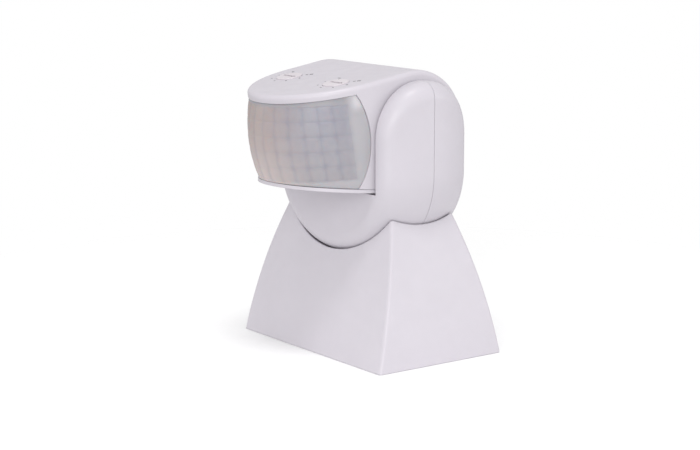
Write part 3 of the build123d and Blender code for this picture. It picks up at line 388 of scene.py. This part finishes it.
SHELL = colour(0.535, 0.507, 0.552)
finishes = {
    "white_shell": moulded_plastic("white_shell_looks", SHELL, subsurface=0.06),
    "inner_plastic": moulded_plastic("inner_plastic_looks", colour(0.6, 0.59, 0.6), rough=0.5),
    "soft_rubber": rubber("soft_rubber_looks", colour(0.045, 0.045, 0.05)),
    "zinc_steel": metal("zinc_steel_looks", colour(0.62, 0.62, 0.6), 0.3),
    "terminal_plastic": moulded_plastic("terminal_plastic_looks", colour(0.66, 0.64, 0.56), rough=0.45),
    "terminal_brass": metal("terminal_brass_looks", colour(0.62, 0.46, 0.2), 0.28),
    "lead_insulation": wire_insulation("lead_insulation_looks"),
    "circuit_board": circuit_board("circuit_board_looks"),
    "sensor_can": metal("sensor_can_looks", colour(0.7, 0.68, 0.62), 0.22),
    "sensor_glass": dark_glass("sensor_glass_looks"),
    "light_cell": light_cell("light_cell_looks"),
    "relay_case": moulded_plastic("relay_case_looks", colour(0.03, 0.06, 0.2), rough=0.3),
    "film_case": moulded_plastic("film_case_looks", colour(0.45, 0.05, 0.03), rough=0.35),
    "capacitor_sleeve": moulded_plastic("capacitor_sleeve_looks", colour(0.02, 0.02, 0.05), rough=0.25),
    "varistor_coat": moulded_plastic("varistor_coat_looks", colour(0.04, 0.12, 0.4), rough=0.5),
    "trimmer_case": moulded_plastic("trimmer_case_looks", colour(0.04, 0.1, 0.32), rough=0.35),
    "dial_plastic": moulded_plastic("dial_plastic_looks", colour(0.6, 0.555, 0.59), rough=0.34),
}
slots = {part["node"]: part["material_slot"] for part in frame["record"]["subparts"]}


def dress(piece, material):
    piece.data.materials.clear()
    piece.data.materials.append(material)


for node, piece in frame["nodes"].items():
    if slots[node] in finishes:
        dress(piece, finishes[slots[node]])


def new_piece(name, mesh, body, material):
    """A new visible piece that rides on a body."""
    piece = bpy.data.objects.new(name, mesh)
    bpy.context.scene.collection.objects.link(piece)
    dress(piece, material)
    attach(piece, body)
    return piece


# ================================================================ the lens
LENS_CENTRE = 15 * MM  # the upright line, this far forward of the tilt axis, that the lens stands around
LENS_TOP = 17.43 * MM
LENS_LOW = -17.55 * MM  # height of the lower edge's plane at that line
LENS_RISE = 0.24204  # how much the lower edge's plane rises for each metre forward
LENS_THICKNESS = 0.75 * MM
STEPS_AROUND = 360
STEPS_UP = 130
RAY_START = 100 * MM  # outside the head
RAY_REACH = 85 * MM  # a hit further in than this isn't on the lens's outer face
END_STEP = radians(0.02)  # how closely the lens's end is found
RULER_STEPS = 90

lens_node = frame["nodes"]["lens"]
lens_tree = BVHTree.FromPolygons(
    [vertex.co for vertex in lens_node.data.vertices],
    [polygon.vertices for polygon in lens_node.data.polygons],
)


def lens_hit(angle, share):
    """Outer point and normal of the CAD lens, or None.

    The angle turns from the right-hand side to the front and on to the left.
    The share runs from 0 on the lower edge to 1 on the upper edge.
    """
    rise = LENS_RISE * (1 - share)
    foot = head_place(0, LENS_CENTRE, LENS_LOW + (LENS_TOP - LENS_LOW) * share)
    outward = across * cos(angle) - backward * sin(angle) + upward * (rise * sin(angle))
    outside = foot + outward.normalized() * RAY_START
    point, normal, _, distance = lens_tree.ray_cast(outside, foot - outside)
    if point is None or distance > RAY_REACH:
        return None
    return point, normal


def lens_end(share):
    """The smallest angle at which the lens still has a surface, found by halving."""
    on, off = pi / 2, 0.0
    while on - off > END_STEP:
        middle = (on + off) / 2
        if lens_hit(middle, share):
            on = middle
        else:
            off = middle
    return on


def around_lens():
    """Distance along the lens from its middle for each of a row of angles, at half its height."""
    angles = [pi / 2 * (1 - i / RULER_STEPS) for i in range(RULER_STEPS)]
    spots = []
    for angle in angles:
        found = lens_hit(angle, 0.5)
        if found:
            spots.append((angle, found[0]))
    distance = 0.0
    ruler = [(spots[0][0], 0.0)]
    for (_, before), (angle, after) in zip(spots, spots[1:]):
        distance += (after - before).length
        ruler.append((angle, distance))
    return ruler


def distance_at(angle, ruler):
    """Distance from the lens's middle at an angle, positive to the right."""
    turn = min(angle, pi - angle)
    first_angle, _ = ruler[0]
    last_angle, last = ruler[-1]
    distance = last + (last_angle - turn) * last / (first_angle - last_angle)
    for (angle_a, a), (angle_b, b) in zip(ruler, ruler[1:]):
        if turn >= angle_b:
            distance = a + (b - a) * (angle_a - turn) / (angle_a - angle_b)
            break
    return distance if angle < pi / 2 else -distance


def cell_dome(column, row):
    """How far a cell's surface bulges at a point, from 0 on its border to 1 in its middle."""
    if not (0 < column < CELL_COLUMNS and 0 < row < CELL_ROWS):
        return 1.0
    x = 2 * (column % 1) - 1
    y = 2 * (row % 1) - 1
    return (1 - x**4) * (1 - y**4)


def lens_mesh():
    """A grid over the CAD lens's outer surface, pressed in along the borders of its cells."""
    ruler = around_lens()
    points, cells = [], []
    for j in range(STEPS_UP + 1):
        share = j / STEPS_UP
        end = lens_end(share)
        for i in range(STEPS_AROUND + 1):
            angle = end + (pi - 2 * end) * i / STEPS_AROUND
            point, normal = lens_hit(angle, share)
            height = (point - tilt_point).dot(upward)
            reach = -(point - tilt_point).dot(backward)
            column = CELL_COLUMNS / 2 + distance_at(angle, ruler) / CELL_PITCH
            row = (height - CELL_LOW - CELL_RISE * (reach - CELL_REACH)) / CELL_HEIGHT
            points.append(point - normal * CELL_DEPTH * (1 - cell_dome(column, row)))
            cells.append((column, row))
    wide = STEPS_AROUND + 1
    faces = []
    for j in range(STEPS_UP):
        for i in range(STEPS_AROUND):
            start = j * wide + i
            faces.append((start, start + 1, start + wide + 1, start + wide))
    mesh = bpy.data.meshes.new("lens_sheet")
    mesh.from_pydata(points, [], faces)
    uv = mesh.uv_layers.new(name="cells")
    for loop in mesh.loops:
        uv.data[loop.index].uv = cells[loop.vertex_index]
    mesh.polygons.foreach_set("use_smooth", [True] * len(faces))
    return mesh


lens_sheet = new_piece("lens_sheet", lens_mesh(), "head", frosted_lens("frosted_lens_looks"))
wall = lens_sheet.modifiers.new("wall", "SOLIDIFY")
wall.thickness = LENS_THICKNESS
# the thickness goes inward from the outer surface, whichever way the faces are turned
wall.offset = -1 if lens_sheet.data.polygons[0].normal.dot(backward) < 0 else 1
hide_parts("lens")

# ================================================================ printed dial scales
INK_THICKNESS = 0.03 * MM
INK_WIDTH = 0.5 * MM
SCALE_RADIUS = 6.0 * MM
TICK_LENGTH = 0.9 * MM
SIGN_RADIUS = 7.3 * MM
SIGN_SIZE = 1.5 * MM
SCALE_TURN = 135  # the two signs stand this many degrees either side of straight forward
TICKS = 7


def strip(start, end, width):
    """Corners of a straight printed line on a plane."""
    along = end - start
    aside = Vector((-along.y, along.x)).normalized() * (width / 2)
    return [start - aside, end - aside, end + aside, start + aside]


def on_circle(radius, angle):
    """Point on a dial's circle; the angle is in degrees, from straight forward."""
    return Vector((radius * sin(radians(angle)), radius * cos(radians(angle))))


def scale_marks():
    """Ticks round a dial that grow towards the plus sign, with a minus sign at the other end."""
    marks = []
    for i in range(TICKS):
        share = i / (TICKS - 1)
        angle = SCALE_TURN * (2 * share - 1)
        inner = on_circle(SCALE_RADIUS, angle)
        outer = on_circle(SCALE_RADIUS + TICK_LENGTH * (0.5 + 0.5 * share), angle)
        marks.append(strip(inner, outer, INK_WIDTH * (0.8 + 0.6 * share)))
    half = Vector((SIGN_SIZE / 2, 0))
    up = Vector((0, SIGN_SIZE / 2))
    minus = on_circle(SIGN_RADIUS + SIGN_SIZE / 2, -SCALE_TURN)
    plus = on_circle(SIGN_RADIUS + SIGN_SIZE / 2, SCALE_TURN)
    arm = Vector((0, INK_WIDTH / 2))
    marks.append(strip(minus - half, minus + half, INK_WIDTH))
    marks.append(strip(plus - half, plus + half, INK_WIDTH))
    marks.append(strip(plus + arm, plus + up, INK_WIDTH))
    marks.append(strip(plus - up, plus - arm, INK_WIDTH))
    return marks


def printed_scale(name, dial_top):
    """Thin closed plates of ink on the head's flat top, around one dial."""
    x = (dial_top - tilt_point).dot(across)
    reach = -(dial_top - tilt_point).dot(backward)
    points, faces = [], []
    for mark in scale_marks():
        first = len(points)
        for height in (FLAT_TOP - INK_THICKNESS / 2, FLAT_TOP + INK_THICKNESS / 2):
            points += [head_place(x + corner.x, reach + corner.y, height) for corner in mark]
        faces.append([first + i for i in range(4)])
        faces.append([first + 7 - i for i in range(4)])
        for i in range(4):
            after = (i + 1) % 4
            faces.append([first + i, first + 4 + i, first + 4 + after, first + after])
    mesh = bpy.data.meshes.new(name)
    mesh.from_pydata(points, [], faces)
    return mesh


ink = printed_ink("printed_ink_looks")
for dial, dial_top in (("time", time_dial_top), ("light", light_dial_top)):
    mesh = printed_scale(dial + "_scale", dial_top)
    new_piece(dial + "_scale", mesh, "head", ink)

# ================================================================ studio
FLOOR_RADIUS = 0.6
FLOOR_SIDES = 64
FLOOR_FADE = (0.08, 0.3)  # between these radii the floor fades into the white background
FLOOR_DROP = 0.1 * MM  # the floor stays clear of the wall plate


def pale_floor():
    """A round floor of pale card that fades into the background."""
    mesh = bpy.data.meshes.new("floor")
    rim = [
        (FLOOR_RADIUS * cos(2 * pi * i / FLOOR_SIDES), FLOOR_RADIUS * sin(2 * pi * i / FLOOR_SIDES), 0)
        for i in range(FLOOR_SIDES)
    ]
    mesh.from_pydata(rim, [], [range(FLOOR_SIDES)])
    floor = bpy.data.objects.new("floor", mesh)
    floor.location.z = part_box("wall_plate")[0].z - FLOOR_DROP
    bpy.context.scene.collection.objects.link(floor)
    made = Shader("floor_looks")
    paper = made.noise(0.002, detail=3.0)
    tone = made.mix(paper, colour(0.91, 0.91, 0.91), colour(0.94, 0.94, 0.94))
    distance = made.node("ShaderNodeVectorMath", operation="LENGTH")
    made.feed(distance.inputs[0], made.place)
    fade = made.fit(distance.outputs["Value"], *FLOOR_FADE, 1.0, 0.0)
    made.set(Base_Color=tone, Roughness=0.9, Specular_IOR_Level=0.1, Alpha=fade)
    dress(floor, made.material)


LIT_POINT = Vector((0, 0, 0.05))
OVERHEAD_LIT_POINT = Vector((0, 0, 0.06))


def soft_light(name, place, size, power, aim=LIT_POINT):
    """A square area light that points from its place to its aim; metres and watts."""
    lamp = bpy.data.lights.new(name, "AREA")
    lamp.shape = "SQUARE"
    lamp.size = size
    lamp.energy = power
    light = bpy.data.objects.new(name, lamp)
    light.location = place
    light.rotation_euler = (aim - Vector(place)).to_track_quat("-Z", "Y").to_euler()
    bpy.context.scene.collection.objects.link(light)


AIR_BRIGHTNESS = 0.77


def studio_air(brightness):
    """Even white light from everywhere, in front of a background that is plain white to the camera."""
    world = bpy.data.worlds.new("studio")
    world.use_nodes = True
    tree = world.node_tree
    air = tree.nodes["Background"]
    air.inputs["Color"].default_value = colour(1.0, 1.0, 1.0)
    seen = tree.nodes.new("ShaderNodeLightPath").outputs["Is Camera Ray"]
    strength = tree.nodes.new("ShaderNodeMapRange")
    strength.inputs["To Min"].default_value = brightness
    tree.links.new(seen, strength.inputs["Value"])
    tree.links.new(strength.outputs["Result"], air.inputs["Strength"])
    bpy.context.scene.world = world


CAMERA_AZIMUTH = radians(53.86)
CAMERA_ELEVATION = radians(10.41)
CAMERA_DISTANCE = 0.650
CAMERA_AIM = Vector((-10.25, -1.25, 41.06)) * MM
CAMERA_LENS = 91.75  # millimetres, on a sensor of this width
CAMERA_SENSOR = 36


def photo_camera():
    """The camera at the photograph's angle; azimuth 0 looks along +Y."""
    back = Vector((
        sin(CAMERA_AZIMUTH) * cos(CAMERA_ELEVATION),
        -cos(CAMERA_AZIMUTH) * cos(CAMERA_ELEVATION),
        sin(CAMERA_ELEVATION),
    ))
    lens = bpy.data.cameras.new("camera")
    lens.lens = CAMERA_LENS
    lens.sensor_width = CAMERA_SENSOR
    camera = bpy.data.objects.new("camera", lens)
    camera.location = CAMERA_AIM + back * CAMERA_DISTANCE
    camera.rotation_euler = back.to_track_quat("Z", "Y").to_euler()
    bpy.context.scene.collection.objects.link(camera)
    bpy.context.scene.camera = camera


pale_floor()
studio_air(AIR_BRIGHTNESS)
soft_light("overhead_light", (0.3, -0.2, 1.1), size=0.3, power=4.0, aim=OVERHEAD_LIT_POINT)
soft_light("right_light", (0.9, -0.8, 0.4), size=0.7, power=6.5)
soft_light("rim_light", (1.0, 0.9, 0.25), size=0.5, power=2.4)
soft_light("left_light", (-0.9, -0.9, 0.3), size=0.6, power=1.0)
photo_camera()
bpy.context.scene.view_settings.view_transform = "Standard"
bpy.context.scene.view_settings.look = "None"
